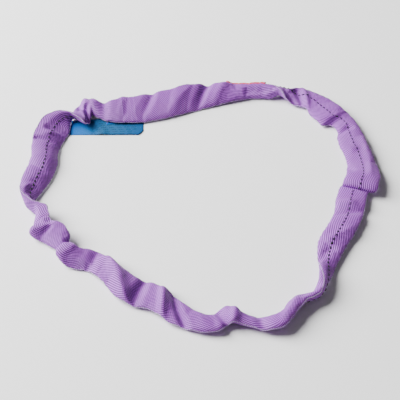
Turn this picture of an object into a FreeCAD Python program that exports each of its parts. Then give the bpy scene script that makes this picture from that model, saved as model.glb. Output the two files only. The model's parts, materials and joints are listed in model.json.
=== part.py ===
import FreeCAD, Part
import Sketcher
import math
import os
from FreeCAD import Vector, Placement, Rotation

# Endless round sling, laid out on the floor as one loose loop.
#
# A soft woven sleeve covers a core of parallel yarn turns. The sleeve's two ends meet in one lap
# joint: the tucked end is necked and slides into the other end, and rows of stitches hold them.
# Everything follows one route, a closed loop of straight runs joined by tangent arcs.
# Millimetres, +Z up, the origin under the middle of the loop's box, on the floor.

DIMENSIONS = {
    "sleeve_width": 54.0,        # laid flat, edge to edge
    "sleeve_height": 17.0,       # soft thickness with the core inside
    "sleeve_wall": 1.4,
    "lap_length": 26.0,          # how far the tucked end reaches into the other end
    "lap_root": 5.0,             # full-thickness ring that joins the neck to the sleeve
    "lap_gap": 1.0,              # between the two ends' cut edges
    "neck_clearance": 0.3,
    "neck_wall": 0.9,
    "yarn_radius": 2.7,          # one turn of the core's yarn bundle
    "lane_pitch": 6.4,
    "layer_pitch": 5.6,
    "shift_length": 27.0,        # over which a turn moves across to the next lane
    "tape_wall": 0.3,
    "tape_play": 0.1,            # between the tape and the yarn
    "tape_length": 22.0,
    "marker_width": 1.6,
    "marker_height": 0.4,
    "catch_radius": 0.6,         # catch thread along each woven edge
    "catch_gap": 0.02,
    "stitch_radius": 0.5,
    "stitch_rows": 3,
    "stitches_in_row": 8,
    "stitch_pitch": 5.0,
    "hinge_offset": 30.0,        # label's fold line, from the sleeve's middle
    "hinge_length": 106.0,
    "hinge_start": 64.5,         # its left end, back along the run from the joint
    "fold_gap": 0.6,             # between the sewn hem and the loose flap
    "hem_start": 14.0,           # the hem's left end, from the fold line's left end
    "hem_width": 6.6,
    "label_lift": 0.1,           # clearance over the floor
    "label_thickness": 0.5,
    "film_thickness": 0.15,
    "film_inset": 1.0,
    "near_left_u": 26.4,         # label's near left corner, beyond the fold line's left end
    "near_left_v": 18.0,
    "near_right_u": 90.6,        # where the near edge meets the cut corner
    "near_right_v": 32.6,
    "cut_corner_u": 102.8,
    "cut_corner_v": 16.0,
    "hem_stitches": 13,
    "hem_stitch_pitch": 7.0,
    "hem_stitch_height": 4.2,
    "hem_stitch_inset": 2.0,     # from the hem's far edge
    "tag_height": 9.0,           # red identification strip on the outer woven edge
    "tag_thickness": 0.5,
    "tag_stitches": 7,
}

# Where the ends of the sleeve meet, on a straight run.
JOINT = (-147, 233.5)

# Corners of the route, clockwise seen from above.
ROUTE = [
    (-95, 240), (-45, 257), (10, 278), (60, 291), (110, 294), (155, 290), (195, 275),
    (230, 250), (260, 217), (286, 180), (297, 135), (300, 88), (296, 42), (280, -5),
    (266, -52), (245, -97), (225, -142), (210, -186), (196, -226), (166, -254),
    (130, -281), (90, -289), (50, -285), (10, -289), (-28, -269), (-66, -244),
    (-108, -221), (-142, -187), (-182, -166), (-220, -145), (-248, -110), (-273, -70),
    (-294, -26), (-299, 20), (-287, 64), (-281, 108), (-278, 146), (-271, 181),
    (-250, 208), (-215, 223), (-175, 230),
]
ARC_SHARE = 0.45                 # of the shorter run, that a corner's arc takes on each side
LANES = 6                        # yarn turns side by side in one layer
TAG_CORNER = 4                   # the red strip lies along this corner's arc
STITCH_OVERHANG = 0.3            # how far a stitch stands out of the cloth
FIRST_ROW = 0.75                 # the first stitch row's place on the lap, in row pitches

doc = FreeCAD.newDocument("round_sling")
sheet = doc.addObject("Spreadsheet::Sheet", "dimensions")
for row, (alias, value) in enumerate(DIMENSIONS.items(), start=1):
    sheet.set("A%d" % row, alias)
    sheet.set("B%d" % row, str(value))
    sheet.setAlias("B%d" % row, alias)
doc.recompute()
pieces = []


def dim(alias):
    """The sheet's value of one driving dimension."""
    return float(sheet.get(alias))


def cell(text):
    """An expression in which each word is a cell of the sheet."""
    return " ".join("dimensions." + word if word.replace("_", "").isalpha() else word
                    for word in text.split())


# ---------------------------------------------------------------- the route

START = Vector(JOINT[0], JOINT[1], 0)
CORNERS = [START] + [Vector(x, y, 0) for x, y in ROUTE] + [START]
MIDDLE = dim("sleeve_height") / 2
UP = Vector(0, 0, 1)
ALONG = (CORNERS[1] - START).normalize()     # the joint's run, the way the route goes
OUTWARD = UP.cross(ALONG)                    # across it, away from the loop's inside


def route_spans():
    """The route at z = 0 as (kind, points, centre) spans: straight lines and tangent arcs."""
    spans = []
    here = START
    for before, corner, after in zip(CORNERS, CORNERS[1:], CORNERS[2:]):
        run_in = corner - before
        run_out = after - corner
        reach = ARC_SHARE * min(run_in.Length, run_out.Length)
        half_turn = run_in.getAngle(run_out) / 2
        radius = reach / math.tan(half_turn)
        run_in.normalize()
        run_out.normalize()
        towards_centre = (run_out - run_in).normalize()
        centre = corner + towards_centre * (radius / math.cos(half_turn))
        start = corner - run_in * reach
        end = corner + run_out * reach
        spans.append(("line", (here, start), None))
        spans.append(("arc", (start, centre - towards_centre * radius, end), centre))
        here = end
    spans.append(("line", (here, START), None))
    return spans


SPANS = route_spans()


def moved_edges(spans, side, height):
    """Edges of the spans, moved sideways (outward is positive) and up to the height."""
    edges = []
    for kind, points, centre in spans:
        if kind == "line":
            across = UP.cross((points[1] - points[0]).normalize())
            start, end = [point + across * side + UP * height for point in points]
            edges.append(Part.LineSegment(start, end).toShape())
            continue
        first, middle, last = points
        bends_outward = (middle - first).cross(last - middle).z > 0
        inward_move = side if bends_outward else -side
        on_arc = [point + (centre - point).normalize() * inward_move + UP * height for point in points]
        edges.append(Part.Arc(*on_arc).toShape())
    return edges


def trimmed(from_start, from_end):
    """The whole route with its first and last lines shortened."""
    first = ("line", (START + ALONG * from_start, SPANS[0][1][1]), None)
    last = ("line", (SPANS[-1][1][0], START - ALONG * from_end), None)
    return [first] + SPANS[1:-1] + [last]


def straight(from_joint, to_joint):
    """A piece of the joint's own straight run, between two distances along it."""
    return [("line", (START + ALONG * from_joint, START + ALONG * to_joint), None)]


# ------------------------------------------------------- sections and sweeps

def stand_at_start(feature, edges):
    """Stands a flat section upright across the start of the edges."""
    point = edges[0].firstVertex(True).Point
    direction = edges[0].tangentAt(edges[0].FirstParameter)
    across = direction.cross(UP)
    feature.Placement = Placement(point, Rotation(across, UP, direction, "ZXY"))


def bind(sketch, constraint, expression):
    """Adds a constraint to the sketch and ties its value to the sheet."""
    index = sketch.addConstraint(constraint)
    sketch.setExpression("Constraints[%d]" % index, cell(expression))


def flat_oval(label, width, height, edges):
    """Section of a flat tube: two straight sides and two half circles."""
    sketch = doc.addObject("Sketcher::SketchObject", label + "_section")
    half = (dim("sleeve_width") - dim("sleeve_height")) / 2
    radius = dim("sleeve_height") / 2
    quarter = math.pi / 2
    for x, turn in ((half, 0), (-half, math.pi)):
        circle = Part.Circle(Vector(x, 0, 0), UP, radius)
        sketch.addGeometry(Part.ArcOfCircle(circle, turn - quarter, turn + quarter))
    sketch.addGeometry(Part.LineSegment(Vector(half, radius, 0), Vector(-half, radius, 0)))
    sketch.addGeometry(Part.LineSegment(Vector(-half, -radius, 0), Vector(half, -radius, 0)))
    for first, first_end, second, second_end in ((0, 2, 2, 1), (2, 2, 1, 1), (1, 2, 3, 1), (3, 2, 0, 1)):
        sketch.addConstraint(Sketcher.Constraint("Tangent", first, first_end, second, second_end))
    sketch.addConstraint(Sketcher.Constraint("Equal", 0, 1))
    sketch.addConstraint(Sketcher.Constraint("Horizontal", 2))
    sketch.addConstraint(Sketcher.Constraint("Symmetric", 0, 3, 1, 3, -1, 1))
    bind(sketch, Sketcher.Constraint("DistanceX", 1, 3, 0, 3, 2 * half), width + " - ( " + height + " )")
    bind(sketch, Sketcher.Constraint("Radius", 0, radius), "( " + height + " ) / 2")
    stand_at_start(sketch, edges)
    return sketch


def rectangle(label, width, height, edges):
    """Section of a strip, centred on the edges."""
    sketch = doc.addObject("Sketcher::SketchObject", label + "_section")
    corners = [Vector(1, 1, 0), Vector(-1, 1, 0), Vector(-1, -1, 0), Vector(1, -1, 0)]
    for start, end in zip(corners, corners[1:] + corners[:1]):
        sketch.addGeometry(Part.LineSegment(start, end))
    for line in range(4):
        sketch.addConstraint(Sketcher.Constraint("Coincident", line, 2, (line + 1) % 4, 1))
        sketch.addConstraint(Sketcher.Constraint(("Horizontal", "Vertical")[line % 2], line))
    sketch.addConstraint(Sketcher.Constraint("Symmetric", 0, 1, 2, 1, -1, 1))
    bind(sketch, Sketcher.Constraint("DistanceX", 0, 2, 0, 1, 2), width)
    bind(sketch, Sketcher.Constraint("DistanceY", 1, 2, 1, 1, 2), height)
    stand_at_start(sketch, edges)
    return sketch


def disc(label, radius, edges):
    circle = doc.addObject("Part::Circle", label + "_section")
    circle.setExpression("Radius", cell(radius))
    stand_at_start(circle, edges)
    return circle


def sweep(label, section, edges):
    """The section drawn along the edges, as a solid."""
    path = doc.addObject("Part::Feature", label + "_path")
    path.Shape = Part.Wire(edges)
    feature = doc.addObject("Part::Sweep", label)
    feature.Sections = [section]
    feature.Spine = (path, ["Edge%d" % (index + 1) for index in range(len(edges))])
    feature.Solid = True
    feature.Frenet = False
    return feature


def oval_sweep(label, width, height, spans):
    edges = moved_edges(spans, 0, MIDDLE)
    return sweep(label, flat_oval(label, width, height, edges), edges)


def tube(label, outside, inside, spans):
    """A flat hollow tube between two (width, height) ovals."""
    cut = doc.addObject("Part::Cut", label)
    cut.Base = oval_sweep(label + "_outside", *outside, spans)
    cut.Tool = oval_sweep(label + "_inside", *inside, spans)
    return cut


def keep(feature, label):
    """Names a feature as one of the sling's separate pieces."""
    feature.Label = label
    pieces.append(feature)


# ------------------------------------------------------------------- sleeve

def cover_sleeve():
    """One woven tube: its necked end is tucked into its other end."""
    gap = dim("lap_gap") / 2
    shell = tube("sleeve_shell", ("sleeve_width", "sleeve_height"),
                 ("sleeve_width - 2 * sleeve_wall", "sleeve_height - 2 * sleeve_wall"),
                 trimmed(gap, gap))
    lost = "2 * sleeve_wall - 2 * neck_clearance"
    neck_outside = ("sleeve_width - " + lost, "sleeve_height - " + lost)
    neck_inside = tuple(size + " - 2 * neck_wall" for size in neck_outside)
    neck = tube("sleeve_neck", neck_outside, neck_inside, straight(-dim("lap_root"), dim("lap_length")))
    root = tube("sleeve_neck_root", ("sleeve_width - sleeve_wall", "sleeve_height - sleeve_wall"),
                neck_inside, straight(-dim("lap_root"), -gap))
    whole = doc.addObject("Part::MultiFuse", "sleeve_whole")
    whole.Shapes = [shell, neck, root]
    keep(whole, "cover_sleeve")


def joint_stitching():
    """Rows of stitches through both layers of the lap, above and below the core."""
    depth = dim("sleeve_wall") + dim("neck_clearance") + dim("neck_wall")
    stitches = []
    for row in range(int(dim("stitch_rows"))):
        along = dim("lap_length") * (row + FIRST_ROW) / dim("stitch_rows")
        for column in range(int(dim("stitches_in_row"))):
            across = dim("stitch_pitch") * (column - (dim("stitches_in_row") - 1) / 2)
            foot = START + ALONG * along + OUTWARD * across
            top = foot + UP * (dim("sleeve_height") - depth)
            stitches.append(Part.makeCylinder(dim("stitch_radius"), depth + STITCH_OVERHANG, top))
            stitches.append(Part.makeCylinder(dim("stitch_radius"), depth, foot))
    group = doc.addObject("Part::Feature", "joint_stitches")
    group.Shape = Part.makeCompound(stitches)
    keep(group, "joint_stitching")


def sleeve_threads():
    """The marker thread along the top, and a catch thread along each woven edge."""
    gap = dim("lap_gap") / 2
    edges = moved_edges(trimmed(gap, gap), 0, dim("sleeve_height") + dim("marker_height") / 2)
    section = rectangle("marker", "marker_width", "marker_height", edges)
    keep(sweep("marker", section, edges), "marker_thread")
    reach = dim("sleeve_width") / 2 + dim("catch_gap") + dim("catch_radius")
    for label, side in (("catch_thread_inner", -reach), ("catch_thread_outer", reach)):
        edges = moved_edges(trimmed(gap, gap), side, MIDDLE)
        keep(sweep(label, disc(label, "catch_radius", edges), edges), label)


# --------------------------------------------------------------------- core

def lane_change(side_from, side_to, height):
    """Two tangent arcs that carry a yarn from one lane to the next, just after the joint."""
    length = dim("shift_length")
    shift = side_to - side_from
    start = START + OUTWARD * side_from + UP * height
    end = START + ALONG * length + OUTWARD * side_to + UP * height
    halfway = (start + end) / 2
    radius = (length ** 2 + shift ** 2) / (4 * abs(shift))
    sign = math.copysign(1, shift)
    quarter_turn = math.atan2(abs(shift), length)
    drop = radius * (1 - math.cos(quarter_turn))
    advance = radius * math.sin(quarter_turn)
    early = start + ALONG * advance + OUTWARD * (sign * drop)
    late = end - ALONG * advance - OUTWARD * (sign * drop)
    return [Part.Arc(start, early, halfway).toShape(), Part.Arc(halfway, late, end).toShape()]


def core_turns():
    """Two yarns wound side by side, one above the other, each in six turns round the loop.

    Each turn ends at the joint, where the next one starts and moves over by a lane.
    """
    for layer, height in (("lower", MIDDLE - dim("layer_pitch") / 2),
                          ("upper", MIDDLE + dim("layer_pitch") / 2)):
        sides = [dim("lane_pitch") * (lane - (LANES - 1) / 2) for lane in range(LANES)]
        for lane, side in enumerate(sides):
            label = "core_%s_turn_%d" % (layer, lane + 1)
            edges = moved_edges(trimmed(dim("shift_length"), 0), side, height)
            if lane:
                edges = lane_change(sides[lane - 1], side, height) + edges
            keep(sweep(label, disc(label, "yarn_radius", edges), edges), label)


def end_tapes():
    """Tape round the whole core, over the yarns' first ends and over their last ones."""
    height = "layer_pitch + 2 * yarn_radius + 2 * tape_play"
    width = "%d * lane_pitch + %s" % (LANES - 1, height)
    for label, spans in (("lead_end_tape", SPANS[1:2]), ("tail_end_tape", SPANS[-2:-1])):
        outside = (width + " + 2 * tape_wall", height + " + 2 * tape_wall")
        keep(tube(label, outside, (width, height), spans), label)


# -------------------------------------------------------------------- label

FOLD_LEFT = START - ALONG * dim("hinge_start") - OUTWARD * dim("hinge_offset")
LABEL_FRAME = Rotation(ALONG, OUTWARD, UP, "ZXY")    # label's own X runs along its fold line


def plate(label, corners, bottom, thickness):
    """A flat piece padded up from the outline; each corner is a pair of expressions."""
    body = doc.addObject("PartDesign::Body", label)
    sketch = body.newObject("Sketcher::SketchObject", label + "_outline")
    plane = [item for item in body.Origin.OriginFeatures if item.Role == "XY_Plane"][0]
    sketch.AttachmentSupport = (plane, "")
    sketch.MapMode = "FlatFace"
    sheet_values = {alias: dim(alias) for alias in DIMENSIONS}
    places = [Vector(*[rough_value(text, sheet_values) for text in corner], 0) for corner in corners]
    for start, end in zip(places, places[1:] + places[:1]):
        sketch.addGeometry(Part.LineSegment(start, end))
    for line in range(len(places)):
        sketch.addConstraint(Sketcher.Constraint("Coincident", line, 2, (line + 1) % len(places), 1))
        for kind, value, text in (("DistanceX", places[line].x, corners[line][0]),
                                  ("DistanceY", places[line].y, corners[line][1])):
            bind(sketch, Sketcher.Constraint(kind, -1, 1, line, 1, value), text)
    pad = body.newObject("PartDesign::Pad", label + "_pad")
    pad.Profile = sketch
    pad.setExpression("Length", cell(thickness))
    body.Placement = Placement(FOLD_LEFT + UP * bottom, LABEL_FRAME)
    keep(body, label)


def rough_value(text, values):
    """Adds up the signed cells of a sum such as "hinge_length - film_inset"."""
    total = 0.0
    sign = 1.0
    for word in text.split():
        if word in "+-":
            sign = -1.0 if word == "-" else 1.0
        else:
            total += sign * (values[word] if word in values else float(word))
            sign = 1.0
    return total


def label_pieces():
    """A hem sewn under the sleeve's inner edge, and a loose flap of sheet and clear film."""
    low = dim("label_lift")
    plate("label_hem", [("hem_start", "fold_gap"), ("hinge_length", "fold_gap"),
                        ("hinge_length", "hem_width"), ("hem_start", "hem_width")],
          low, "label_thickness")
    plate("label_sheet", [("0.0", "0.0"), ("- near_left_u", "- near_left_v"),
                          ("near_right_u", "- near_right_v"), ("cut_corner_u", "- cut_corner_v"),
                          ("hinge_length", "0.0")], low, "label_thickness")
    plate("label_film", [("film_inset", "- film_inset"),
                         ("- near_left_u + film_inset + film_inset", "- near_left_v + film_inset"),
                         ("near_right_u - film_inset", "- near_right_v + film_inset"),
                         ("cut_corner_u - film_inset", "- cut_corner_v"),
                         ("hinge_length - film_inset", "- film_inset")],
          low + dim("label_thickness"), "film_thickness")
    stitches = []
    for index in range(int(dim("hem_stitches"))):
        along = dim("hem_start") + dim("hem_stitch_pitch") * (index + 0.5)
        across = dim("hem_width") - dim("hem_stitch_inset")
        foot = FOLD_LEFT + ALONG * along + OUTWARD * across + UP * low
        stitches.append(Part.makeCylinder(dim("stitch_radius"), dim("hem_stitch_height"), foot))
    group = doc.addObject("Part::Feature", "label_stitches")
    group.Shape = Part.makeCompound(stitches)
    keep(group, "label_stitching")


def side_tag():
    """A red identification strip sewn along the sleeve's outer shoulder."""
    shoulder = (dim("sleeve_width") - dim("sleeve_height")) / 2
    side = shoulder - dim("tag_height") / 2
    spans = SPANS[2 * TAG_CORNER + 1:2 * TAG_CORNER + 4]
    edges = moved_edges(spans, side, dim("sleeve_height") + dim("tag_thickness") / 2)
    section = rectangle("tag", "tag_height", "tag_thickness", edges)
    keep(sweep("tag", section, edges), "side_tag")
    wire = Part.Wire(edges)
    count = int(dim("tag_stitches"))
    depth = dim("sleeve_wall") + dim("tag_thickness")
    stitches = []
    for point in wire.discretize(Number=count + 2)[1:-1]:
        foot = Vector(point.x, point.y, dim("sleeve_height") - dim("sleeve_wall"))
        stitches.append(Part.makeCylinder(dim("stitch_radius"), depth + STITCH_OVERHANG, foot))
    group = doc.addObject("Part::Feature", "tag_stitches_group")
    group.Shape = Part.makeCompound(stitches)
    keep(group, "side_tag_stitching")


# ------------------------------------------------------- build, check, write

def report_route():
    length = sum(edge.Length for edge in moved_edges(SPANS, 0, MIDDLE))
    radii = [(points[0] - centre).Length for kind, points, centre in SPANS if kind == "arc"]
    print("loop length %.0f mm, effective length %.0f mm" % (length, length / 2))
    print("corner radii, mm:", " ".join("%.0f" % radius for radius in radii))
    width, height = dim("sleeve_width"), dim("sleeve_height")
    section = (width - height) * height + math.pi * height ** 2 / 4
    solid = doc.getObject("sleeve_shell_outside").Shape.Volume
    print("solid sleeve volume over section times length: %.4f"
          % (solid / (section * (length - dim("lap_gap")))))


cover_sleeve()
joint_stitching()
sleeve_threads()
core_turns()
end_tapes()
label_pieces()
side_tag()
doc.recompute()

for item in doc.Objects:
    if "Invalid" in item.State or "Error" in item.State:
        raise RuntimeError("%s failed to recompute" % item.Name)
os.makedirs("parts", exist_ok=True)
for piece in pieces:
    if piece.Shape.isNull() or not piece.Shape.isValid():
        raise RuntimeError("%s has no valid shape" % piece.Label)
    piece.Shape.exportStep("parts/%s.step" % piece.Label)
    print("%-20s %2d solids %10.1f mm3" % (piece.Label, len(piece.Shape.Solids), piece.Shape.Volume))
report_route()
box = Part.makeCompound([piece.Shape for piece in pieces]).BoundBox
print("box x %.1f %.1f y %.1f %.1f z %.1f %.1f"
      % (box.XMin, box.XMax, box.YMin, box.YMax, box.ZMin, box.ZMax))
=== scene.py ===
"""Looks of an endless round sling that lies on the floor in one loose, twisted loop."""
import json
import math

import bpy
import numpy as np
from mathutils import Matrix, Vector


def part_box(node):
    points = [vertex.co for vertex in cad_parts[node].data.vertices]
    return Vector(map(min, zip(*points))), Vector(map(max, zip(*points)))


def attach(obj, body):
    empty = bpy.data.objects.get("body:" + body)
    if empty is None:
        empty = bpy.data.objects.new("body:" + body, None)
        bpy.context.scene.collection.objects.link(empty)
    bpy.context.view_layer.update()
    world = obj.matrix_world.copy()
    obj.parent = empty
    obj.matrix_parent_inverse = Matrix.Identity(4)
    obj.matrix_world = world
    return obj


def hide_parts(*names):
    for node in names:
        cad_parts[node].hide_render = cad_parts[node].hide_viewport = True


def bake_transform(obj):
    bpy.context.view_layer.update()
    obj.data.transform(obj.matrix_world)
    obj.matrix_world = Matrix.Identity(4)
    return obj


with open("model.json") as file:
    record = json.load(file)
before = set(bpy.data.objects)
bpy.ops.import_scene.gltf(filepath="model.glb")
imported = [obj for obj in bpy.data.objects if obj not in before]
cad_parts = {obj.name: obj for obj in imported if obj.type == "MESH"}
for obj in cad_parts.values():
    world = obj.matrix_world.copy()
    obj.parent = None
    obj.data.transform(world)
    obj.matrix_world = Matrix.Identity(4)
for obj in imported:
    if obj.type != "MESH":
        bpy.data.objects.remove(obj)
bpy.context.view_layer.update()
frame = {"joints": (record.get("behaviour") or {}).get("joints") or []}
MM = 0.001                      # shapes are worked out in millimetres and built in metres
UP = np.array([0.0, 0.0, 1.0])
SLEEVE_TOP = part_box("cover_sleeve")[1].z / MM
MIDDLE = SLEEVE_TOP / 2         # height of the route

# Corners of the route, clockwise seen from above, from the sleeve's joint round to it again.
ROUTE = [
    (-147, 233.5),
    (-95, 240), (-45, 257), (10, 278), (60, 291), (110, 294), (155, 290), (195, 275),
    (230, 250), (260, 217), (286, 180), (297, 135), (300, 88), (296, 42), (280, -5),
    (266, -52), (245, -97), (225, -142), (210, -186), (196, -226), (166, -254),
    (130, -281), (90, -289), (50, -285), (10, -289), (-28, -269), (-66, -244),
    (-108, -221), (-142, -187), (-182, -166), (-220, -145), (-248, -110), (-273, -70),
    (-294, -26), (-299, 20), (-287, 64), (-281, 108), (-278, 146), (-271, 181),
    (-250, 208), (-215, 223), (-175, 230),
    (-147, 233.5),
]

# How the sleeve lies at places along the route, in millimetres and degrees: the place, the roll
# (0 with the marker's face up, 180 with the plain face up), half the width, half the thickness,
# the shift outward, the lift off the floor and the curl across the width. A place that comes
# before the one above it is a fold laid back on itself.
LIE = [
    (0, 165, 29, 5.4, -4, 1.2, 0),
    (25, 164, 31, 5.2, -5.5, 1.2, 10),
    (50, 164, 32.5, 4.8, -4, 1.2, 15),
    (85, 164, 32.5, 4.8, -2.5, 1.2, 15),
    (127, 164, 31, 5, -1.5, 0, 10),
    (168, 164, 30, 5, -1, 0, 10),
    (190, 166, 28, 5.5, -1, 0, 5),
    (208, 168, 25, 6, -2, 0, 0),
    (228, 168, 21, 6.5, -3, 0, 0),
    (245, 160, 18, 6.5, -3, 0, 10),
    (262, 148, 15.5, 6.5, -3, 0, 20),
    (282, 138, 15.5, 6.5, -3, 0, 40),
    (298, 124, 15, 7.5, -4, 0, 60),
    (311, 92, 14.5, 9, -1, 0, 40),
    (321, 52, 16, 9, 1, 0, 20),
    (332, 24, 20, 8, 1, 0, 0),
    (345, 8, 23.5, 7.5, 4, 0, 0),
    (358, 0, 26, 7, 6, 0, 0),
    (383, -6, 23.5, 7, 8, 0, 0),
    (410, -8, 29, 6.5, 3, 0, 0),
    (436, -8, 30, 6.5, 0, 1, 0),
    (449, -8, 29.5, 6, -2, 1, 0),
    (457, -8, 23.5, 5.5, 6, 1, 0),
    (466, -7, 21.5, 6, 7, 0, 0),
    (487, -6, 22, 6.5, 4, 0, 0),
    (510, -6, 25, 6.5, -1.5, 0, 0),
    (535, -6, 26, 6.5, -2.5, 0, 0),
    (560, -6, 25.5, 6.5, 1, 0, 0),
    (587, -6, 26, 6.5, 4, 0, 0),
    (605, -5, 28.5, 7, 5.5, 2, 0),
    (624, -4, 30.5, 7, 7, 5, 0),
    (643, -3, 31, 7, 6, 8, 0),
    (653, -2, 31, 6, 6, 9, 0),
    (658, -2, 30, 4, 5, 8, 0),
    (656, -2, 27, 2.5, 2, 5, 0),
    (654, -3, 26, 4.5, -1, 0, 0),
    (668, -5, 26, 5.5, -3.5, 0, 0),
    (692, -6, 26.5, 6, -3, 0, 0),
    (712, -6, 25.5, 6, -1.5, 0, 0),
    (730, -6, 25, 6, 0, 0, 0),
    (762, -4, 25, 6.5, -1, 0, 0),
    (785, 0, 24.5, 6.5, -3, 0, 0),
    (805, 0, 23.5, 6.5, -4, 0, 0),
    (830, 4, 19.5, 6.5, -2, 0, 0),
    (850, 16, 16, 6.5, 0, 0, 10),
    (872, 44, 13.5, 7.5, 3, 0, 30),
    (893, 82, 12, 8, 5, 0, 50),
    (915, 112, 11.5, 7.5, 6, 0, 50),
    (930, 128, 12.5, 7.5, 1, 0, 40),
    (945, 138, 14, 7.5, -4, 0, 20),
    (960, 146, 14.5, 7.5, -3, 0, 20),
    (980, 150, 14.5, 7.5, 4, 0, 20),
    (1000, 158, 17.5, 7.5, 9, 0, 20),
    (1015, 160, 16, 7, 8, 0, 20),
    (1040, 165, 12, 7, 1, 0, 10),
    (1055, 168, 12.5, 8, -4, 0, 0),
    (1066, 170, 17, 8.5, -8, 0, 0),
    (1076, 170, 19.5, 8.5, -9, 0, 0),
    (1087, 172, 21, 7, -2, 0, 0),
    (1100, 176, 18, 6, 4, 0, 0),
    (1115, 180, 17.5, 6, 5, 0, 0),
    (1136, 180, 18.5, 6.5, 4.5, 0, 0),
    (1158, 180, 22, 6.5, 4, 0, 0),
    (1202, 181, 24, 6.5, -3, 0, 0),
    (1231, 182, 27.5, 6.5, 0, 0, 0),
    (1258, 182, 25.5, 6.5, 3, 0, 0),
    (1275, 182, 23.5, 7, 2, 0, 0),
    (1297, 180, 21, 7, 0, 0, 0),
    (1317, 180, 21.5, 6.5, -5, 0, 0),
    (1337, 180, 20, 6.5, -9, 0, 0),
    (1357, 182, 22, 7, -5, 0, 0),
    (1375, 186, 20, 8, 1, 2, 0),
    (1388, 190, 17.5, 9, 2, 7, 0),
    (1394, 190, 16, 8, 2, 9, 0),
    (1391, 195, 13, 5, 0, 4, 0),
    (1400, 200, 13, 7, -4, 0, 0),
    (1412, 204, 18, 8, -8, 0, 0),
    (1432, 205, 23, 8, -6, 0, 0),
    (1447, 202, 25.5, 8, 1, 3, 0),
    (1459, 200, 22, 8, 7, 7, 0),
    (1466, 203, 20, 6, 6, 8, 0),
    (1463, 208, 17, 4, 3, 4, 0),
    (1471, 214, 19, 6, 0, 0, 0),
    (1484, 222, 17, 8, -5, 0, 0),
    (1497, 234, 15.5, 8, -10, 0, 20),
    (1510, 250, 13.5, 7.5, -4, 0, 50),
    (1524, 275, 14, 7, 4, 0, 70),
    (1538, 305, 16, 6.5, 5, 0, 50),
    (1552, 326, 19, 6, 3, 0, 20),
    (1563, 334, 21, 5.5, 0, 0, -10),
    (1595, 339, 25, 5, -3, 0, -40),
    (1637, 340, 26, 5, -2, 0, -50),
    (1671, 339, 26.5, 5, 4, 0, -50),
    (1695, 338, 28, 5, 4, 0, -30),
    (1718, 335, 29.5, 5, 3, 0, 10),
    (1738, 334, 30.5, 5, 3.5, 0, 35),
    (1750, 328, 27, 5, 4, 0, 50),
    (1760, 320, 21.5, 5, 4, 0, 60),
    (1768, 300, 15, 5, 3, 0, 70),
    (1774, 262, 13, 5.5, 2, 0, 60),
    (1779, 222, 18, 6, -4, 1, 30),
    (1784, 200, 25, 6.5, -9, 2, 0),
    (1790, 190, 30, 6.5, -6, 3, 0),
    (1797, 183, 32, 6.5, -1, 4, 0),
    (1803, 175, 31.5, 6.5, 3, 4, 0),
    (1808, 168, 29, 6.5, 7.5, 3, 0),
    (1812, 164, 22, 6, 11.5, 2.4, 0),
    (1816, 160, 16, 6, 14, 2, 0),
    (1822, 157, 19, 6, 9, 1.8, 0),
    (1831, 157, 20, 6.5, 3.5, 1.6, 0),
    (1845, 158, 22.5, 6.5, -3.5, 1.2, 0),
    (1860, 161, 26, 6, -5, 1.2, 0),
]

# Ridges and hollows on the sleeve's upper side: the place along the route, the distance outward
# from it, the turn (0 straight across the sleeve, more with the outer end further on, 90 along
# it), the length, the half width and the height, below zero for a hollow.
FOLDS = [
    # top run
    (1815, 0, 10, 50, 8, 3),
    (1840, 3, 5, 50, 10, -4),
    (0, 8, 10, 40, 8, 2),
    (50, 0, 30, 60, 10, -3),
    (113, 0, 35, 100, 13, 4.5),
    (163, 0, 35, 80, 9, -6),
    (200, 0, 35, 70, 12, 3),
    (280, -8, 90, 50, 7, -4),
    # top right
    (338, -8, -65, 50, 6, -3),
    (342, 12, 25, 20, 4, 3),
    (372, 7, -40, 65, 6, 2.5),
    (362, 0, -45, 35, 6, -3),
    (460, -15, -5, 30, 7, -2),
    (443, -14, 35, 35, 7, 2),
    # right
    (495, -10, -15, 30, 6, -2.5),
    (547, -22, 25, 25, 10, 2.5),
    (607, -20, 55, 18, 6, -2),
    (575, 18, 90, 100, 7, 1.5),
    (720, 0, -25, 55, 9, -2.5),
    (700, -11, -15, 20, 9, 2.5),
    (778, 2, -60, 45, 9, 1.5),
    (833, -9, -70, 36, 8, -2),
    # pinch
    (927, -3, -80, 38, 5, -2.5),
    (968, 0, 65, 40, 7, 3),
    # bottom
    (1066, 0, 5, 38, 6, 4.5),
    (1084, 0, -25, 26, 6, -4.5),
    (1025, 7, -5, 30, 8, -2.5),
    (1114, 7, -30, 38, 12, 1.5),
    (1160, 0, -48, 64, 6, -4.5),
    (1189, 0, -28, 56, 8, 4.5),
    (1236, 0, -10, 55, 10, -5.5),
    (1276, 2, -55, 90, 11, 6),
    (1335, -2, -15, 32, 9, -2.5),
    (1354, 16, 70, 30, 7, -5.5),
    (1310, 20, -80, 34, 4, 2.5),
    # lower left
    (1402, -14, -75, 24, 6, -3),
    (1423, -18, -85, 32, 6, 2.5),
    (1442, 12, -10, 36, 5, -5),
    (1464, 5, 25, 36, 5, -6),
    (1460, 18, -30, 16, 5, 3),
    (1490, -3, 90, 22, 5, 3),
    # left
    (1556, 0, -70, 35, 7, -2.5),
    (1561, 3, -45, 28, 6, 2),
    (1612, 4, 15, 34, 8, -2),
    (1640, -15, 90, 70, 10, 1.5),
    (1676, -27, 75, 35, 7, -2.5),
    (1686, 2, 5, 42, 5, -3.5),
    (1703, 11, -25, 40, 6, 3.5),
    (1722, -9, -5, 38, 6, -4),
    # knot
    (1796, 23, 5, 28, 5, -7),
    (1796, -8, -5, 27, 4, 4),
    (1806, -6, 5, 40, 4, -8),
]

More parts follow.
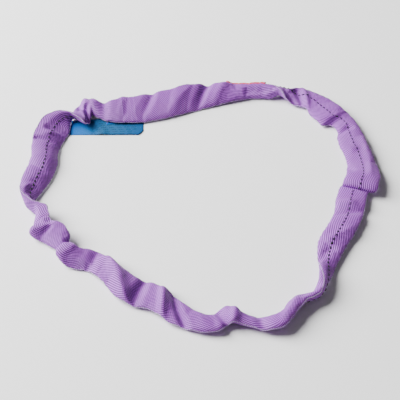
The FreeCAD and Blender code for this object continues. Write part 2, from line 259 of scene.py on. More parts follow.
# The sleeve's surface, in millimetres.
RING_SPACING = 4.0
AROUND = 44                     # points round one ring; 0 is one woven edge and half-way the other
FULLNESS = (0.85, 0.9)          # powers of the oval section, across and through it; 1 is an ellipse
HEADING_SOFTNESS = 8            # rounds of averaging of the way the route runs
LEAN_SOFTNESS = 3               # and of the slope that the sleeve climbs at
DEEPER = 1.7                    # every ridge and hollow is this many times its height in FOLDS
FLOOR_GAP = 1.7                 # from the floor to the sleeve's underside
DIP_LEFT = 0.05                 # what would dip lower keeps this share of its dip
HIGHEST = 27.2                  # the sleeve's top, at most
EASE = 4.0                      # it eases towards that height over this much

# The cloth simulation that adds the small wrinkles.
CLOTH_EXCESS = 0.02             # the cloth is too long and too wide by this share
CLOTH_FRAMES = 10
CLOTH_HOLD = 0.35               # how firmly every point is held where it lies
MOST_MOVE = 3.0                 # the furthest that a point ends up from there

# Twill of the sleeve: pitches along it and round it.
RIBS = (6.2, 3.5)
YARN = (3.4, 4.2)               # the yarn that crosses the ribs

# Stitches: pitch, length, width, height and, where they slant, the slant.
MARKER = (9.6, 6.1, 2.6, 1.5)
CATCH = (3.6, 3.1, 1.3, 0.9, 0.35)
OVERLOCK = (2.4, 2.3, 0.9, 0.5, 0.8)
JOINT_STITCH = (4.4, 3.2, 0.8, 0.4)
HEM_STITCH = (7.0, 4.6, 1.0, 0.8)
TAG_STITCH = (7.5, 4.4, 0.9, 0.7)
STITCH_RISE, STITCH_DIP = 0.6, 0.7      # its middle stands out and its ends sink, in heights
STITCH_TAPER = 0.75                     # 0 for blunt ends, 1 for pointed ones
JOINT_ROWS = (0.0, 6.5, 15.2, 23.8)     # places of the rows; the overlocked cut edge comes first

# Yarn inside the sleeve, and the tapes on its two ends.
LAYERS = (("lower", 0.63), ("upper", 0.37))     # 0 is the marker's face and 1 the plain one
LANES = 6
LANE_STEP = 0.20                # in half widths of the sleeve
LANE_CHANGE = 28.0              # a turn moves over by a lane in this length, just after the joint
END_GAP = 0.5                   # between one turn's end and the next one's start
YARN_SHARE, YARN_MOST = 0.2, 3.4        # yarn's width as a share of the sleeve's depth, and its limit
YARN_SIDES = 6
TAPE_SPAN = (30, 54)            # from the joint, on either side of it
TAPE_OUTSIDE, TAPE_INSIDE = 0.86, 0.82  # as shares of the sleeve's section

# The label, from its fold line's left end: along the line, and out from it towards the middle
# of the loop.
LABEL_LEFT = (-35.5, -41.5)     # at the fold line and at the free edge
LABEL_RIGHT = (106.0, 99.0)
LABEL_DEPTH = (21.5, 38.6)      # at the free edge's left and right corner
LABEL_UNDER = 20.0              # how far it runs on under the sleeve
CUT, CUT_FROM = 8.0, 0.8        # the cut right corner, and the share of the depth where it starts
CREASE_AT, CREASE_WIDTH, CREASE_HEIGHT = 22.0, 9.0, 2.2
CREASE_GROWS, CREASE_POWER = 22.0, 1.5  # the depth at which the crease is full, and how it gets there
CURL_FROM, CURL_LENGTH, CURL_HEIGHT = 12.0, 20.0, 1.2
LABEL_SHEET = (0.1, 0.5)        # bottom and thickness
LABEL_FILM = (0.68, 0.15)
LABEL_HEM = (0.65, 0.35)
FILM_INSET = 1.0
HEM_SPAN = (30.0, 100.0)
HEM_DEPTH = (0.9, 6.4)          # from the fold line, back under the sleeve
HEM_LINE, HEM_LINE_HEIGHT = 5.4, 1.0    # the hem's row of stitches
PRINT_ROWS = 8

# The red tag on the far edge.
TAG_SPAN = (214, 292)           # places of its two ends
TAG_TUCK, TAG_SHOWS, TAG_RISE = 6.0, 3.2, 1.0
TAG_THICKNESS = 0.5
TAG_LINE = 1.2                  # its stitches, out from the sleeve's edge

# Camera, floor and lights: metres, millimetres for the lens, watts.
VIEW_AIM = Vector((0.005, -0.020, 0.0))
VIEW_DISTANCE = 1.7
VIEW_DOWN = math.radians(45)
VIEW_LENS = 85.95
VIEW_SHIFT = 0.0125
FLOOR_SIDE = 6.0                # half its side
FLOOR_GREY = 0.92
WORLD_LIGHT = 0.10
KEY_LIGHT = ((-3.4, 1.2, 2.5), 3.6, 920)        # place, size and power
FILL_LIGHT = ((2.8, -1.6, 2.4), 3.2, 4)


# ------------------------------------------------------------------------------- route and rings

def route_points():
    """Points along the smooth route, in millimetres, with their distances along it."""
    curve = bpy.data.curves.new("route", "CURVE")
    curve.dimensions = "3D"
    curve.resolution_u = 24
    spline = curve.splines.new("NURBS")
    spline.points.add(len(ROUTE) - 1)
    for point, (x, y) in zip(spline.points, ROUTE):
        point.co = (x * MM, y * MM, MIDDLE * MM, 1)
    spline.order_u = 3
    spline.use_endpoint_u = True
    holder = bpy.data.objects.new("route", curve)
    mesh = bpy.data.meshes.new_from_object(holder)
    points = np.array([tuple(vertex.co) for vertex in mesh.vertices]) / MM
    bpy.data.objects.remove(holder)
    bpy.data.meshes.remove(mesh)
    steps = np.linalg.norm(np.diff(points, axis=0), axis=1)
    kept = np.concatenate([[True], steps > 1e-6])
    points = points[kept]
    return points, np.concatenate([[0], np.cumsum(steps[steps > 1e-6])])


def unit(vectors):
    """The same directions, one unit long."""
    return vectors / np.maximum(np.linalg.norm(vectors, axis=-1), 1e-9)[..., None]


def soften(values, times):
    """Averages each value with its neighbours round the closed loop."""
    for _ in range(times):
        values = (np.roll(values, 1, 0) + 2 * values + np.roll(values, -1, 0)) / 4
    return values


def smooth_through(knots, values, at):
    """A curve through the values that never overshoots, closed: the last knot is the first again."""
    period = knots[-1] - knots[0]
    gain = values[-1] - values[0]
    x = np.concatenate([knots[:-1] - period, knots[:-1], knots + period])
    y = np.concatenate([values[:-1] - gain, values[:-1], values + gain])
    step = np.diff(x)
    slope = np.diff(y) / step
    tangent = np.zeros(len(x))
    same = slope[:-1] * slope[1:] > 0
    near = (2 * step[1:] + step[:-1])[same]
    far = (step[1:] + 2 * step[:-1])[same]
    tangent[1:-1][same] = (near + far) / (near / slope[:-1][same] + far / slope[1:][same])
    cell = np.clip(np.searchsorted(x, at, side="right") - 1, 0, len(x) - 2)
    t = (at - x[cell]) / step[cell]
    return ((1 + 2 * t) * (1 - t) ** 2 * y[cell] + t * (1 - t) ** 2 * step[cell] * tangent[cell]
            + t * t * (3 - 2 * t) * y[cell + 1] + t * t * (t - 1) * step[cell] * tangent[cell + 1])


def sections(width, thick, curl, angle):
    """Flat ovals, each bent round its own middle by its curl."""
    cos, sin = np.cos(angle)[None], np.sin(angle)[None]
    across = np.sign(cos) * np.abs(cos) ** FULLNESS[0] * width[:, None]
    up = np.sign(sin) * np.abs(sin) ** FULLNESS[1] * thick[:, None]
    bend = curl / (2 * width)
    bend = np.where(np.abs(bend) < 1e-5, 1e-5, bend)[:, None]
    radius = 1 / bend
    sag = radius * (1 - np.cos(width[:, None] * bend)) / 2
    return (radius - up) * np.sin(across * bend), radius - (radius - up) * np.cos(across * bend) - sag


def sleeve_rings(points, distances):
    """The sleeve's rings of points as they lie, with each ring's place on the route."""
    total = distances[-1]
    lie = np.array(LIE + [LIE[0]], float)
    lie[-1, 0] += total
    stride = np.diff(lie[:, [0, 4, 5]], axis=0)
    knots = np.concatenate([[0], np.cumsum(np.linalg.norm(stride, axis=1))])
    count = int(round(knots[-1] / RING_SPACING))
    at = np.arange(count) * knots[-1] / count
    place, roll, width, thick, shift, lift, curl = [smooth_through(knots, lie[:, j], at) for j in range(7)]
    roll, curl = np.radians(roll), np.radians(curl)
    place = place % total
    plan = np.stack([np.interp(place, distances, points[:, axis]) for axis in range(2)], 1)
    plan = np.concatenate([plan, np.zeros((count, 1))], 1)
    even = np.arange(0, total, RING_SPACING)
    line = np.stack([np.interp(even, distances, points[:, axis]) for axis in range(2)] + [0 * even], 1)
    heading = unit(soften(np.roll(line, -1, 0) - np.roll(line, 1, 0), HEADING_SOFTNESS))
    along = unit(np.stack([np.interp(place, even, heading[:, axis], period=total) for axis in range(3)], 1))
    outward = np.cross(UP, along)
    x, y = sections(width, thick, curl, 2 * np.pi * np.arange(AROUND) / AROUND)
    depth = -np.sin(roll)[:, None] * x + np.cos(roll)[:, None] * y
    centre = plan + outward * shift[:, None]
    centre[:, 2] = FLOOR_GAP + lift - depth.min(1)
    run = soften(np.roll(centre, -1, 0) - np.roll(centre, 1, 0), LEAN_SOFTNESS)
    lean = np.arctan2(run[:, 2], (run * along).sum(1))[:, None]
    up = UP * np.cos(lean) - along * np.sin(lean)
    across = np.cos(roll)[:, None] * outward - np.sin(roll)[:, None] * up
    facing = np.sin(roll)[:, None] * outward + np.cos(roll)[:, None] * up
    rings = centre[:, None] + x[..., None] * across[:, None] + y[..., None] * facing[:, None]
    rings = folded(rings, plan, place, along, outward, total)
    return under_ceiling(on_floor(rings)), place


def folded(rings, plan, place, along, outward, total):
    """Raises the ridges and sinks the hollows: in full at a ring's top, not at all at its foot."""
    low, high = rings[..., 2].min(1, keepdims=True), rings[..., 2].max(1, keepdims=True)
    upper = np.clip((rings[..., 2] - low) / (high - low), 0, 1)
    step = rings - plan[:, None]
    on = place[:, None] + (step * along[:, None]).sum(2)
    out = (step * outward[:, None]).sum(2)
    change = np.zeros(upper.shape)
    for middle, beside, turn, length, width, height in FOLDS:
        turn = math.radians(turn)
        ahead = (on - middle + total / 2) % total - total / 2
        down = ahead * math.sin(turn) + (out - beside) * math.cos(turn)
        aside = ahead * math.cos(turn) - (out - beside) * math.sin(turn)
        beyond = np.maximum(np.abs(down) - length / 2, 0)
        change += DEEPER * height * np.exp(-(aside ** 2 + beyond ** 2) / width ** 2)
    rings = rings.copy()
    rings[..., 2] += change * upper
    return rings


def under_ceiling(rings):
    """Eases whatever stands too high down to the sleeve's highest top."""
    start = HIGHEST - EASE
    above = np.maximum(rings[..., 2] - start, 0)
    rings[..., 2] = np.minimum(rings[..., 2], start) + EASE * (1 - np.exp(-above / EASE))
    return rings


def on_floor(rings):
    """Presses whatever dips too low almost flat, a little above the floor."""
    under = rings[..., 2] < FLOOR_GAP
    rings[..., 2] = np.where(under, FLOOR_GAP + DIP_LEFT * (rings[..., 2] - FLOOR_GAP), rings[..., 2])
    rings[..., 2] = np.maximum(rings[..., 2], FLOOR_GAP / 2)
    return rings


# ------------------------------------------------------------------------------- mesh helpers

def add_object(name, vertices, faces, uv=None, smooth=True):
    """A mesh object from millimetre points; uv holds one pair for each corner of each face."""
    mesh = bpy.data.meshes.new(name)
    mesh.from_pydata([tuple(v) for v in np.asarray(vertices) * MM], [], [tuple(f) for f in faces])
    if uv is not None:
        layer = mesh.uv_layers.new(name="UVMap")
        layer.data.foreach_set("uv", np.asarray(uv, np.float32).ravel())
    mesh.polygons.foreach_set("use_smooth", [smooth] * len(mesh.polygons))
    mesh.update()
    piece = bpy.data.objects.new(name, mesh)
    bpy.context.scene.collection.objects.link(piece)
    return piece


def finish_piece(piece, material, slot, body, *nodes):
    """Gives a piece its material, hides the CAD nodes that it stands for and puts it on the body that it
    rides on.
    """
    piece.data.materials.append(material)
    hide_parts(*nodes)
    if body:
        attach(piece, body)
    return piece


def loop_grid(rings, closed=True):
    """Vertices, faces and UVs of a tube; u runs once along it and v once round it."""
    count, around = rings.shape[:2]
    i, j = np.meshgrid(np.arange(count if closed else count - 1), np.arange(around), indexing="ij")
    i, j = i.ravel(), j.ravel()
    ahead, beside = (i + 1) % count, (j + 1) % around
    faces = np.stack([i * around + j, ahead * around + j, ahead * around + beside, i * around + beside], 1)
    spans = count if closed else count - 1
    u = np.stack([i, i + 1, i + 1, i], 1) / spans
    v = np.stack([j, j, j + 1, j + 1], 1) / around
    return rings.reshape(-1, 3), faces, np.stack([u, v], 2)


def cloth_uv(rings):
    """UVs that keep to the weave: u by the distance along the loop and v by the distance round it."""
    centre = rings.mean(1)
    strides = np.linalg.norm(np.roll(centre, -1, 0) - centre, axis=1)
    u = np.concatenate([[0], np.cumsum(strides)]) / strides.sum()
    spans = np.linalg.norm(np.roll(rings, -1, 1) - rings, axis=2)
    v = np.concatenate([0 * spans[:, :1], np.cumsum(spans, axis=1)], 1) / spans.sum(1).mean()
    v = np.concatenate([v, v[:1]])
    u = np.broadcast_to(u[:, None], v.shape)
    both = np.stack([u, v], 2)
    return np.stack([both[:-1, :-1], both[1:, :-1], both[1:, 1:], both[:-1, 1:]], 2).reshape(-1, 4, 2)


def tube_rings(line, normals, width, height, sides):
    """Rings of an oval tube along a line; its height is along the normals."""
    heading = unit(np.gradient(line, axis=0))
    beside = unit(np.cross(heading, normals))
    over = np.cross(beside, heading)
    turn = 2 * np.pi * np.arange(sides) / sides
    width, height = np.broadcast_to(width, len(line)), np.broadcast_to(height, len(line))
    return (line[:, None] + beside[:, None] * (np.cos(turn)[None] * width[:, None])[..., None] / 2
            + over[:, None] * (np.sin(turn)[None] * height[:, None])[..., None] / 2)


def stitch_line(name, line, normals, pitch, length, width, height, slant=0.0, sides=6, stations=5):
    """A row of short rounded stitches along a line, each sunk into the cloth at both ends."""
    steps = np.linalg.norm(np.diff(line, axis=0), axis=1)
    run = np.concatenate([[0], np.cumsum(steps)])
    heading = unit(np.gradient(line, axis=0))
    beside = unit(np.cross(heading, normals))
    vertices, faces, uv = [], [], []
    part = np.linspace(-1, 1, stations)
    swell = np.sqrt(1 - STITCH_TAPER * part ** 2)
    for middle in np.arange(pitch / 2, run[-1], pitch):
        at = middle + part * length / 2
        pick = [np.stack([np.interp(at, run, values[:, axis]) for axis in range(3)], 1)
                for values in (line, normals, beside)]
        centre = pick[0] + pick[1] * (height * (STITCH_RISE - STITCH_DIP * part ** 2))[:, None]
        centre = centre + pick[2] * (part * slant * length / 2)[:, None]
        rings = tube_rings(centre, unit(pick[1]), width * swell, height * swell, sides)
        grid, quads, corners = loop_grid(rings, closed=False)
        start = len(vertices) * len(grid)
        vertices.append(grid)
        faces.extend((quads + start).tolist())
        uv.append(corners.reshape(-1, 2))
        for ring, order in ((0, range(sides)), (stations - 1, range(sides - 1, -1, -1))):
            faces.append([start + ring * sides + k for k in order])
            uv.append(np.full((sides, 2), 0.5))
    return add_object(name, np.concatenate(vertices), faces, np.concatenate(uv))


# ------------------------------------------------------------------------------- materials

class Nodes:
    """Short calls for building a material's nodes."""

    def __init__(self, name):
        self.material = bpy.data.materials.new(name)
        self.material.use_nodes = True
        self.tree = self.material.node_tree
        self.shader = self.tree.nodes["Principled BSDF"]

    def put(self, socket, value):
        if isinstance(value, bpy.types.NodeSocket):
            self.tree.links.new(value, socket)
        else:
            socket.default_value = value

    def set(self, **values):
        for name, value in values.items():
            self.put(self.shader.inputs[name.replace("_", " ")], value)

    def uv(self):
        node = self.tree.nodes.new("ShaderNodeUVMap")
        node.uv_map = "UVMap"
        split = self.tree.nodes.new("ShaderNodeSeparateXYZ")
        self.tree.links.new(node.outputs[0], split.inputs[0])
        return split.outputs[0], split.outputs[1]

    def math(self, operation, first, second=0.0, third=0.0):
        node = self.tree.nodes.new("ShaderNodeMath")
        node.operation = operation
        for socket, value in zip(node.inputs, (first, second, third)):
            self.put(socket, value)
        return node.outputs[0]

    def ribs(self, along, count_along, around, count_around):
        """0 to 1 ribs that slant across the surface."""
        phase = self.math("MULTIPLY_ADD", along, count_along * 2 * math.pi,
                          self.math("MULTIPLY", around, count_around * 2 * math.pi))
        return self.math("MULTIPLY_ADD", self.math("SINE", phase), 0.5, 0.5)

    def noise(self, scale, detail=3.0, roughness=0.5):
        place = self.tree.nodes.new("ShaderNodeTexCoord")
        node = self.tree.nodes.new("ShaderNodeTexNoise")
        self.tree.links.new(place.outputs["Object"], node.inputs["Vector"])
        node.inputs["Scale"].default_value = scale
        node.inputs["Detail"].default_value = detail
        node.inputs["Roughness"].default_value = roughness
        return node.outputs[0]

    def ramp(self, value, *stops):
        node = self.tree.nodes.new("ShaderNodeValToRGB")
        self.put(node.inputs[0], value)
        while len(node.color_ramp.elements) < len(stops):
            node.color_ramp.elements.new(0.5)
        for element, (place, colour) in zip(node.color_ramp.elements, stops):
            element.position = place
            element.color = (*colour, 1)
        return node.outputs[0]

    def mix(self, share, first, second, blend="MIX"):
        node = self.tree.nodes.new("ShaderNodeMix")
        node.data_type = "RGBA"
        node.blend_type = blend
        for index, value in ((0, share), (6, first), (7, second)):
            self.put(node.inputs[index], value if not isinstance(value, tuple) else (*value, 1))
        return node.outputs[2]

    def bump(self, height, distance, strength=1.0, under=None):
        node = self.tree.nodes.new("ShaderNodeBump")
        node.inputs["Distance"].default_value = distance
        node.inputs["Strength"].default_value = strength
        self.put(node.inputs["Height"], height)
        if under is not None:
            self.put(node.inputs["Normal"], under)
        return node.outputs[0]


def linear(red, green, blue):
    """Scene colour of an 8-bit screen colour."""
    return tuple((c / 255 / 12.92) if c < 11 else ((c / 255 + 0.055) / 1.055) ** 2.4
                 for c in (red, green, blue))


def sleeve_cloth(length, girth):
    """Violet twill: slanting ribs crossed by yarn, paler on the ribs, slightly uneven dye."""
    n = Nodes("sleeve_cloth")
    u, v = n.uv()
    ribs = n.ribs(u, round(length / RIBS[0]), v, round(girth / RIBS[1]))
    yarn = n.ribs(u, round(length / YARN[0]), v, -round(girth / YARN[1]))
    cloud = n.noise(28.0, 4.0, 0.55)
    violet = n.ramp(cloud, (0.3, (0.52, 0.11, 0.78)), (0.7, (0.63, 0.17, 0.92)))
    ribbed = n.mix(n.math("SUBTRACT", 1.0, ribs), violet, (0.035, 0.004, 0.07))
    crossed = n.mix(n.math("MULTIPLY", n.math("SUBTRACT", 1.0, yarn), 0.45), ribbed, (0.05, 0.006, 0.09))
    height = n.math("MULTIPLY_ADD", yarn, 0.4, ribs)
    n.set(Base_Color=crossed, Roughness=0.62, Sheen_Weight=0.06, Sheen_Roughness=0.4,
          Specular_IOR_Level=0.35)
    n.put(n.shader.inputs["Normal"], n.bump(height, 0.00045))
    return n.material


def thread(name, low, high, twists, roughness=0.7):
    """Twisted thread or yarn: strands that slant round it."""
    n = Nodes(name)
    u, v = n.uv()
    strands = n.ribs(u, twists, v, 2)
    n.set(Base_Color=n.ramp(strands, (0.0, low), (0.7, high)), Roughness=roughness,
          Sheen_Weight=0.15, Specular_IOR_Level=0.3)
    n.put(n.shader.inputs["Normal"], n.bump(strands, 0.0002))
    return n.material


def woven(name, low, high, columns, rows, roughness=0.75):
    """Plain weave for tapes and tags."""
    n = Nodes(name)
    u, v = n.uv()
    warp = n.ribs(u, columns, v, 0)
    weft = n.ribs(u, 0, v, rows)
    height = n.math("MULTIPLY", warp, weft)
    n.set(Base_Color=n.ramp(height, (0.0, low), (0.8, high)), Roughness=roughness, Sheen_Weight=0.1,
          Specular_IOR_Level=0.3)
    n.put(n.shader.inputs["Normal"], n.bump(height, 0.0002))
    return n.material


def label_cloth():
    """Blue printed cloth with rows of short dark bars that stand for small print, and painted light and
    shade across it: brighter to the left, a greyish painted reflection in the middle, painted shade to the
    right.
    """
    n = Nodes("label_cloth")
    u, v = n.uv()
    row = n.math("MULTIPLY", v, PRINT_ROWS)
    in_row = n.math("FRACT", row)
    number = n.math("FLOOR", row)
    bar = n.math("SINE", n.math("MULTIPLY_ADD", number, 1.7, n.math("MULTIPLY", u, 61.0)))
    letter = n.math("SINE", n.math("MULTIPLY_ADD", number, 2.9, n.math("MULTIPLY", u, 290.0)))
    ragged = n.math("MULTIPLY", n.math("GREATER_THAN", bar, -0.45), n.math("GREATER_THAN", letter, -0.2))
    band = n.math("MULTIPLY", n.math("GREATER_THAN", in_row, 0.3), n.math("LESS_THAN", in_row, 0.7))
    margin = n.math("MULTIPLY", n.math("GREATER_THAN", u, 0.30), n.math("LESS_THAN", u, 0.90))
    printed = n.math("MULTIPLY", n.math("MULTIPLY", ragged, band), margin)
    # painted light and shade across the label: brighter blue at the left where light falls, greyish in the
    # middle for a painted reflection, darker to the right for painted shade
    painted_light_and_shade = n.ramp(u, (0.0, (0.0, 0.11, 0.42)), (0.45, (0.008, 0.08, 0.19)), (1.0, (0.0, 0.04, 0.15)))
    colour = n.mix(n.math("MULTIPLY", printed, 0.9), painted_light_and_shade, (0.0, 0.008, 0.02))
    weave = n.math("MULTIPLY", n.ribs(u, 190, v, 0), n.ribs(u, 0, v, 70))
    n.set(Base_Color=colour, Roughness=0.6, Specular_IOR_Level=0.15)
    n.put(n.shader.inputs["Normal"], n.bump(weave, 0.00008))
    return n.material


def label_film():
    """Thin clear film, a little wavy, over the label."""
    n = Nodes("label_film")
    n.set(Base_Color=(0.1, 0.4, 0.8, 1), Roughness=0.2, IOR=1.4, Specular_IOR_Level=0.15, Alpha=0.03)
    n.put(n.shader.inputs["Normal"], n.bump(n.noise(45.0, 2.0), 0.002))
    return n.material


# ------------------------------------------------------------------------------- sleeve

def relax(piece, hold, frames):
    """Lets the cloth find its own wrinkles: it is a little too big for the shape it lies in."""
    group = piece.vertex_groups.new(name="hold")
    for index, weight in enumerate(hold):
        group.add([index], float(weight), "REPLACE")
    cloth = piece.modifiers.new("cloth", "CLOTH")
    settings = cloth.settings
    settings.quality = 6
    settings.mass = 0.1
    settings.tension_stiffness = 25
    settings.compression_stiffness = 25
    settings.shear_stiffness = 8
    settings.bending_stiffness = 0.6
    settings.air_damping = 4
    settings.shrink_min = -CLOTH_EXCESS
    settings.vertex_group_mass = "hold"
    settings.pin_stiffness = 1.0
    settings.effector_weights.gravity = 0
    cloth.collision_settings.use_collision = False
    cloth.collision_settings.use_self_collision = False
    cloth.point_cache.frame_start = 1
    cloth.point_cache.frame_end = frames
    for number in range(1, frames + 1):
        bpy.context.scene.frame_set(number)
    shaped = piece.evaluated_get(bpy.context.evaluated_depsgraph_get())
    places = np.zeros(len(shaped.data.vertices) * 3, np.float32)
    shaped.data.vertices.foreach_get("co", places)
    piece.modifiers.remove(cloth)
    piece.vertex_groups.remove(group)
    bpy.context.scene.frame_set(1)
    return places.reshape(-1, 3).astype(float) / MM


def make_sleeve():
    """The sleeve's cloth, its rings and their places, and the route's points and distances."""
    points, distances = route_points()
    rings, place = sleeve_rings(points, distances)
    start = rings.copy()
    vertices, faces, _ = loop_grid(rings)
    piece = add_object("cover_sleeve_cloth", vertices, faces, cloth_uv(rings))
    hold = np.full(len(vertices), CLOTH_HOLD)
    moved = relax(piece, hold, CLOTH_FRAMES).reshape(rings.shape)
    step = moved - start
    size = np.linalg.norm(step, axis=2, keepdims=True)
    step = step * np.minimum(1, MOST_MOVE / np.maximum(size, 1e-6))
    rings = under_ceiling(on_floor(start + step))
    piece.data.vertices.foreach_set("co", (rings * MM).astype(np.float32).ravel())
    piece.data.update()
    return piece, rings, place, points, distances


def surface(rings):
    """Unit normals of the sleeve, pointing out of it."""
    forward = np.roll(rings, -1, 0) - np.roll(rings, 1, 0)
    beside = np.roll(rings, -1, 1) - np.roll(rings, 1, 1)
    normals = unit(np.cross(beside, forward))
    centre = rings.mean(1, keepdims=True)
    if ((rings - centre) * normals).sum() < 0:
        normals = -normals
    return normals


def column(rings, fraction):
    """The line on the sleeve at a fraction of the way round it, closed."""
    place = fraction * AROUND
    low = int(math.floor(place)) % AROUND
    share = place - math.floor(place)
    line = rings[:, low] * (1 - share) + rings[:, (low + 1) % AROUND] * share
    return np.concatenate([line, line[:1]])


def inner_line(rings, across, level):
    """A line inside the sleeve; across is -1 to 1 from edge to edge, level 0 to 1 from face to face."""
    turn = np.arccos(np.clip(across, -1, 1)) / (2 * np.pi)
    index = np.arange(len(rings))
    found = []
    for fraction in (turn, 1 - turn):
        place = fraction * AROUND
        low = np.floor(place).astype(int)
        share = (place - low)[:, None]
        found.append(rings[index, low % AROUND] * (1 - share) + rings[index, (low + 1) % AROUND] * share)
    return found[0] * (1 - level) + found[1] * level, np.linalg.norm(found[0] - found[1], axis=1)


def make_core(rings, place, total, material):
    """Twelve turns of yarn in two layers; each moves over by a lane after the joint."""
    past = np.where(place > total - LANE_CHANGE, place - total, place)
    made = []
    for layer, level in LAYERS:
        for lane in range(LANES):
            moved = np.clip(past / LANE_CHANGE, 0, 1)
            moved = moved * moved * (3 - 2 * moved)
            across = LANE_STEP * (lane - (LANES - 1) / 2 - (1 - moved))
            line, room = inner_line(rings, across, level)
            kept = past > (LANE_CHANGE if lane == 0 else END_GAP)
            line = line[kept]
            size = np.minimum(YARN_SHARE * room[kept], YARN_MOST)
            normals = np.broadcast_to(UP, line.shape)
            tube = tube_rings(line, normals, size, size, YARN_SIDES)
            piece = add_object(f"core_{layer}_yarn_{lane + 1}", *loop_grid(tube, closed=False))
            made.append(finish_piece(piece, material, "core_yarn", "sling", f"core_{layer}_turn_{lane + 1}"))
    return made


def make_tape(name, node, rings, place, first, last, material):
    """Tape wound once round all the yarn."""
    chosen = rings[(place >= first) & (place <= last)]
    centre = chosen.mean(1, keepdims=True)
    outside = centre + (chosen - centre) * TAPE_OUTSIDE
    inside = centre + (chosen - centre) * TAPE_INSIDE
    rows = np.concatenate([outside, inside[::-1]])
    piece = add_object(name, *loop_grid(rows))
    return finish_piece(piece, material, "binding_tape", "sling", node)


def make_threads(rings, normals, marker, edge):
    """The dashed marker and the two rows of catch stitches."""
    lines = []
    for name, node, fraction, size, material, slot in (
            ("marker_dashes", "marker_thread", 0.25, MARKER, marker, "marker_thread"),
            ("catch_stitches_outer", "catch_thread_outer", 0.0, CATCH, edge, "catch_thread"),
            ("catch_stitches_inner", "catch_thread_inner", 0.5, CATCH, edge, "catch_thread")):
        line, facing = column(rings, fraction), unit(column(normals, fraction))
        piece = stitch_line(name, line, facing, *size)
        lines.append(finish_piece(piece, material, slot, "sling", node))
    return lines


def make_joint(rings, place, normals, material):
    """The lap joint: overlocked cut edge and three rows of stitches through both faces."""
    order = np.argsort(place, kind="stable")
    rings, normals, place = rings[order], normals[order], place[order]
    strips = []
    for index, along in enumerate(JOINT_ROWS):
        ring = int(np.argmin(np.abs(place - along)))
        line = np.concatenate([rings[ring], rings[ring][:1]])
        facing = np.concatenate([normals[ring], normals[ring][:1]])
        size = OVERLOCK if index == 0 else JOINT_STITCH
        strips.append(stitch_line(f"joint_row_{index}", line, facing, *size))
    joined = join("joint_stitches", strips)
    return finish_piece(joined, material, "sewing_thread", "sling", "joint_stitching")


def join(name, parts):
    """One object from several."""
    with bpy.context.temp_override(active_object=parts[0], selected_editable_objects=parts,
                                   object=parts[0], selected_objects=parts):
        bpy.ops.object.join()
    parts[0].name = name
    return parts[0]


# ------------------------------------------------------------------------------- label and tag

def label_shape():
    """The label's own frame: fold line's left end, its direction and the way away from the sleeve."""
    joint = frame["joints"][0]
    left = np.array(joint["pos_m"]) / MM
    direction = -np.array(joint["axis"], float)
    return left, direction, np.cross(direction, UP)


def label_patch(rows, columns, inset, under):
    """Points on the label, from this far under the sleeve to its free edge, with its edges inset."""
    left, along, away = label_shape()
    u = np.linspace(0, 1, columns)
    v = np.linspace(0, 1, rows)
    grid = np.zeros((rows, columns, 3))
    for i, down in enumerate(v):
        start = LABEL_LEFT[0] + (LABEL_LEFT[1] - LABEL_LEFT[0]) * down + inset
        end = LABEL_RIGHT[0] + (LABEL_RIGHT[1] - LABEL_RIGHT[0]) * down - inset
        if down > CUT_FROM:
            end -= CUT * (down - CUT_FROM) / (1 - CUT_FROM)
        across = start + (end - start) * u
        slope = (LABEL_DEPTH[1] - LABEL_DEPTH[0]) / (LABEL_RIGHT[1] - LABEL_LEFT[1])
        depth = LABEL_DEPTH[0] - inset + slope * (across - LABEL_LEFT[1])
        depth = -under + (depth + under) * down if under else inset + (depth - inset) * down
        crease = CREASE_HEIGHT * np.exp(-((across - CREASE_AT) / CREASE_WIDTH) ** 2)
        crease = crease * np.clip(depth / CREASE_GROWS, 0, 1) ** CREASE_POWER
        grid[i] = left + along * across[:, None] + away * depth[:, None]
        grid[i, :, 2] = crease + CURL_HEIGHT * np.clip((depth - CURL_FROM) / CURL_LENGTH, 0, 1) ** 2
    return grid


def slab(name, grid, bottom, thickness):
    """A closed thin sheet from a grid of points."""
    rows, columns = grid.shape[:2]
    lower = grid + UP * bottom
    upper = lower + UP * thickness
    vertices = np.concatenate([upper.reshape(-1, 3), lower.reshape(-1, 3)])
    faces, uv = [], []
    offset = rows * columns

    def corner(i, j):
        return (j / (columns - 1), 1 - i / (rows - 1))

    for i in range(rows - 1):
        for j in range(columns - 1):
            cells = [(i, j), (i + 1, j), (i + 1, j + 1), (i, j + 1)]
            faces.append([a * columns + b for a, b in cells])
            uv.extend(corner(a, b) for a, b in cells)
            faces.append([offset + a * columns + b for a, b in reversed(cells)])
            uv.extend(corner(a, b) for a, b in reversed(cells))
    rim = ([(0, j) for j in range(columns)] + [(i, columns - 1) for i in range(1, rows)]
           + [(rows - 1, j) for j in range(columns - 2, -1, -1)] + [(i, 0) for i in range(rows - 2, 0, -1)])
    for first, second in zip(rim, rim[1:] + rim[:1]):
        a, b = first[0] * columns + first[1], second[0] * columns + second[1]
        faces.append([a, b, offset + b, offset + a])
        uv.extend([corner(*first), corner(*second), corner(*second), corner(*first)])
    return add_object(name, vertices, faces, uv)


def make_label(cloth, film, sewing):
    """The blue label, its clear film, and the hem that holds it with a row of stitches."""
    left, along, away = label_shape()
    sheet = slab("label_cloth_sheet", label_patch(20, 50, 0.0, LABEL_UNDER), *LABEL_SHEET)
    finish_piece(sheet, cloth, "label_cloth", None, "label_sheet")
    clear = slab("label_clear_film", label_patch(13, 40, FILM_INSET, 0.0), *LABEL_FILM)
    finish_piece(clear, film, "label_film", None, "label_film")
    for piece in (sheet, clear):
        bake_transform(piece)
    columns = np.linspace(*HEM_SPAN, 24)
    depth = np.linspace(*HEM_DEPTH, 5)
    grid = left + along * columns[None, :, None] - away * depth[:, None, None]
    grid[..., 2] = 0
    hem = slab("label_hem_strip", grid, *LABEL_HEM)
    finish_piece(hem, cloth, "label_cloth", "sling", "label_hem")
    line = left + along * columns[:, None] - away * HEM_LINE
    line[:, 2] = HEM_LINE_HEIGHT
    stitches = stitch_line("label_hem_stitches", line, np.broadcast_to(UP, line.shape), *HEM_STITCH)
    finish_piece(stitches, sewing, "sewing_thread", "sling", "label_stitching")


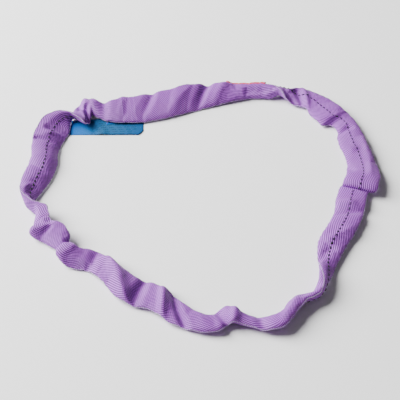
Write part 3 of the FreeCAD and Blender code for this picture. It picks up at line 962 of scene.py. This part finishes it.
def make_tag(rings, place, normals, material, sewing):
    """The red strip that shows past the sleeve's far edge."""
    order = np.argsort(place, kind="stable")
    rings, normals, place = rings[order], normals[order], place[order]
    chosen = (place > TAG_SPAN[0]) & (place < TAG_SPAN[1])
    edge = rings[chosen][:, AROUND // 2]
    facing = unit(normals[chosen][:, AROUND // 2] * np.array([1, 1, 0.0]))
    rows = np.linspace(-TAG_TUCK, TAG_SHOWS, 5)
    grid = edge[None] + facing[None] * rows[:, None, None]
    grid[..., 2] = edge[None, :, 2] + TAG_RISE * np.linspace(0, 1, 5)[:, None]
    tag = slab("side_tag_strip", grid, 0.0, TAG_THICKNESS)
    finish_piece(tag, material, "tag_cloth", "sling", "side_tag")
    line = edge + facing * TAG_LINE
    line[:, 2] = edge[:, 2] + TAG_THICKNESS + TAG_RISE / 2
    stitches = stitch_line("side_tag_stitches", line, np.broadcast_to(UP, line.shape), *TAG_STITCH)
    return tag, finish_piece(stitches, sewing, "sewing_thread", "sling", "side_tag_stitching")


# ------------------------------------------------------------------------------- stage and camera

def make_camera():
    """A camera that looks down on the sling from its near side."""
    data = bpy.data.cameras.new("camera")
    data.lens = VIEW_LENS
    data.sensor_width = 36
    data.shift_y = VIEW_SHIFT
    camera = bpy.data.objects.new("camera", data)
    forward = Vector((0, math.cos(VIEW_DOWN), -math.sin(VIEW_DOWN)))
    camera.location = VIEW_AIM - forward * VIEW_DISTANCE
    camera.rotation_mode = "QUATERNION"
    camera.rotation_quaternion = forward.to_track_quat("-Z", "Y")
    bpy.context.scene.collection.objects.link(camera)
    bpy.context.scene.camera = camera


def make_light(name, place, size, power):
    """A soft round light aimed at the middle of the floor."""
    data = bpy.data.lights.new(name, "AREA")
    data.shape = "DISK"
    data.size = size
    data.energy = power
    light = bpy.data.objects.new(name, data)
    light.location = place
    light.rotation_mode = "QUATERNION"
    light.rotation_quaternion = (-Vector(place)).to_track_quat("-Z", "Y")
    bpy.context.scene.collection.objects.link(light)


def make_stage():
    """Plain pale floor, faint even light and two soft lights."""
    corners = FLOOR_SIDE * np.array([(-1, -1, 0), (1, -1, 0), (1, 1, 0), (-1, 1, 0)])
    floor = add_object("floor", corners / MM, [(0, 1, 2, 3)], smooth=False)
    n = Nodes("floor")
    n.set(Base_Color=(FLOOR_GREY, FLOOR_GREY, FLOOR_GREY, 1), Roughness=0.9)
    floor.data.materials.append(n.material)
    world = bpy.data.worlds.new("studio")
    world.use_nodes = True
    background = world.node_tree.nodes["Background"]
    background.inputs[0].default_value = (1, 1, 1, 1)
    background.inputs[1].default_value = WORLD_LIGHT
    bpy.context.scene.world = world
    make_light("key", *KEY_LIGHT)
    make_light("fill", *FILL_LIGHT)


# ------------------------------------------------------------------------------- the whole sling

sleeve, rings, place, points, distances = make_sleeve()
normals = surface(rings)
total = distances[-1]
girth = np.linalg.norm(np.roll(rings, -1, 1) - rings, axis=2).sum(1).mean()
twill = sleeve_cloth(len(rings) * RING_SPACING, girth)
finish_piece(sleeve, twill, "sleeve_cloth", "sling", "cover_sleeve")
rounder = sleeve.modifiers.new("round", "SUBSURF")
rounder.levels = rounder.render_levels = 1

violet_thread = thread("sewing_thread", (0.30, 0.08, 0.48), (0.60, 0.24, 0.84), 3)
dark_thread = thread("marker_thread", (0.003, 0.002, 0.006), (0.02, 0.01, 0.035), 3)
pale_thread = thread("catch_thread", linear(150, 116, 176), linear(224, 200, 238), 2)
pieces = make_threads(rings, normals, dark_thread, pale_thread)
pieces.append(make_joint(rings, place, normals, violet_thread))
white_yarn = thread("core_yarn", linear(196, 192, 184), linear(242, 240, 234), 260)
pieces += make_core(rings, place, total, white_yarn)
tape = woven("binding_tape", linear(176, 170, 156), linear(222, 216, 204), 16, 60)
near, far = TAPE_SPAN
pieces.append(make_tape("lead_tape", "lead_end_tape", rings, place, near, far, tape))
pieces.append(make_tape("tail_tape", "tail_end_tape", rings, place, total - far, total - near, tape))
make_label(label_cloth(), label_film(), violet_thread)
red_cloth = woven("tag_cloth", linear(176, 30, 24), linear(226, 62, 48), 60, 8)
pieces += make_tag(rings, place, normals, red_cloth, violet_thread)

make_stage()
make_camera()
